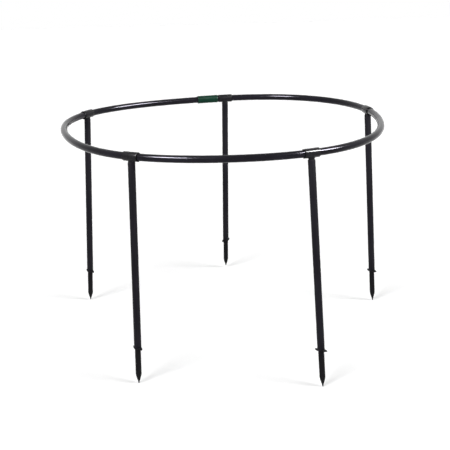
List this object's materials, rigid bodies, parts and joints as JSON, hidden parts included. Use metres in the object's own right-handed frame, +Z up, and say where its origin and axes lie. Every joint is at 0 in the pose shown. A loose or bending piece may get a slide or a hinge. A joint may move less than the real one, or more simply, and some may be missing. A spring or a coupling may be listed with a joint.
{
  "type": "grow through plant support",
  "caption": "Round ring of bent plastic tube held level on tube legs, each hung from a swivelling tee and ending in a collared ground spike, for a plant to grow up through.",
  "frame": {"origin": "on the ground, under the middle of the whole stand's box", "axes": "+Z up, +Y to the back leg, -Y to the two front legs, +X to the right leg"},
  "size_m": [0.6082, 0.6582, 0.4044],
  "materials": {
    "ring_black": "glossy black",
    "joiner_green": "satin dark green",
    "fitting_charcoal": "satin charcoal",
    "leg_charcoal": "satin charcoal black",
    "foot_black": "satin black"
  },
  "bodies": {
    "ring": {"ring_tube": "ring_black", "ring_joining_sleeve": "joiner_green"},
    "back_tee": {"back_tee_fitting": "fitting_charcoal"},
    "back_leg": {"back_leg_tube": "leg_charcoal"},
    "back_foot": {"back_spike_foot": "foot_black"},
    "left_tee": {"left_tee_fitting": "fitting_charcoal"},
    "left_leg": {"left_leg_tube": "leg_charcoal"},
    "left_foot": {"left_spike_foot": "foot_black"},
    "front_left_tee": {"front_left_tee_fitting": "fitting_charcoal"},
    "front_left_leg": {"front_left_leg_tube": "leg_charcoal"},
    "front_left_foot": {"front_left_spike_foot": "foot_black"},
    "front_right_tee": {"front_right_tee_fitting": "fitting_charcoal"},
    "front_right_leg": {"front_right_leg_tube": "leg_charcoal"},
    "front_right_foot": {"front_right_spike_foot": "foot_black"},
    "right_tee": {"right_tee_fitting": "fitting_charcoal"},
    "right_leg": {"right_leg_tube": "leg_charcoal"},
    "right_foot": {"right_spike_foot": "foot_black"}
  },
  "joints": [
    {"name": "back_tee_swivel", "type": "hinge", "parent": "ring", "child": "back_tee", "pos_m": [0.0051, 0.27186, 0.39647], "axis": [0.9898, 0.1427, 0], "range_deg": [-39, 82]},
    {"name": "back_leg_slide", "type": "slide", "parent": "back_tee", "child": "back_leg", "axis": [-0.0199, 0.1377, -0.9903], "range_m": [0, 0.035]},
    {"name": "back_foot_turn", "type": "hinge", "parent": "back_leg", "child": "back_foot", "pos_m": [-0.00197, 0.32092, 0.04377], "axis": [-0.0199, 0.1377, -0.9903], "continuous": true},
    {"name": "left_tee_swivel", "type": "hinge", "parent": "ring", "child": "left_tee", "pos_m": [-0.2699, 0.12387, 0.39647], "axis": [0.4952, 0.8688, 0], "range_deg": [-34.2, 86.8]},
    {"name": "left_leg_slide", "type": "slide", "parent": "left_tee", "child": "left_leg", "axis": [-0.0485, 0.0276, -0.9984], "range_m": [-0.00042, 0.03458]},
    {"name": "left_foot_turn", "type": "hinge", "parent": "left_leg", "child": "left_foot", "pos_m": [-0.28719, 0.13373, 0.04044], "axis": [-0.0485, 0.0276, -0.9984], "continuous": true},
    {"name": "front_left_tee_swivel", "type": "hinge", "parent": "ring", "child": "front_left_tee", "pos_m": [-0.15022, -0.2797, 0.39647], "axis": [-0.8696, 0.4937, 0], "range_deg": [-32.8, 88.2]},
    {"name": "front_left_leg_slide", "type": "slide", "parent": "front_left_tee", "child": "front_left_leg", "axis": [-0.0155, -0.0273, -0.9995], "range_m": [0, 0.035]},
    {"name": "front_left_foot_turn", "type": "hinge", "parent": "front_left_leg", "child": "front_left_foot", "pos_m": [-0.15574, -0.28943, 0.04048], "axis": [-0.0155, -0.0273, -0.9995], "continuous": true},
    {"name": "front_right_tee_swivel", "type": "hinge", "parent": "ring", "child": "front_right_tee", "pos_m": [0.14191, -0.29003, 0.39647], "axis": [-0.912, -0.4102, 0], "range_deg": [-36.4, 84.6]},
    {"name": "front_right_leg_slide", "type": "slide", "parent": "front_right_tee", "child": "front_right_leg", "axis": [0.0386, -0.0858, -0.9956], "range_m": [-0.00157, 0.03343]},
    {"name": "front_right_foot_turn", "type": "hinge", "parent": "front_right_leg", "child": "front_right_foot", "pos_m": [0.15572, -0.32073, 0.04032], "axis": [0.0386, -0.0858, -0.9956], "continuous": true},
    {"name": "right_tee_swivel", "type": "hinge", "parent": "ring", "child": "right_tee", "pos_m": [0.28315, 0.08377, 0.39647], "axis": [0.2132, -0.977, 0], "range_deg": [-33.2, 87.8]},
    {"name": "right_leg_slide", "type": "slide", "parent": "right_tee", "child": "right_leg", "axis": [0.0375, 0.0082, -0.9993], "range_m": [-0.0001, 0.0349]},
    {"name": "right_foot_turn", "type": "hinge", "parent": "right_leg", "child": "right_foot", "pos_m": [0.29651, 0.08668, 0.04047], "axis": [0.0375, 0.0082, -0.9993], "continuous": true}
  ]
}
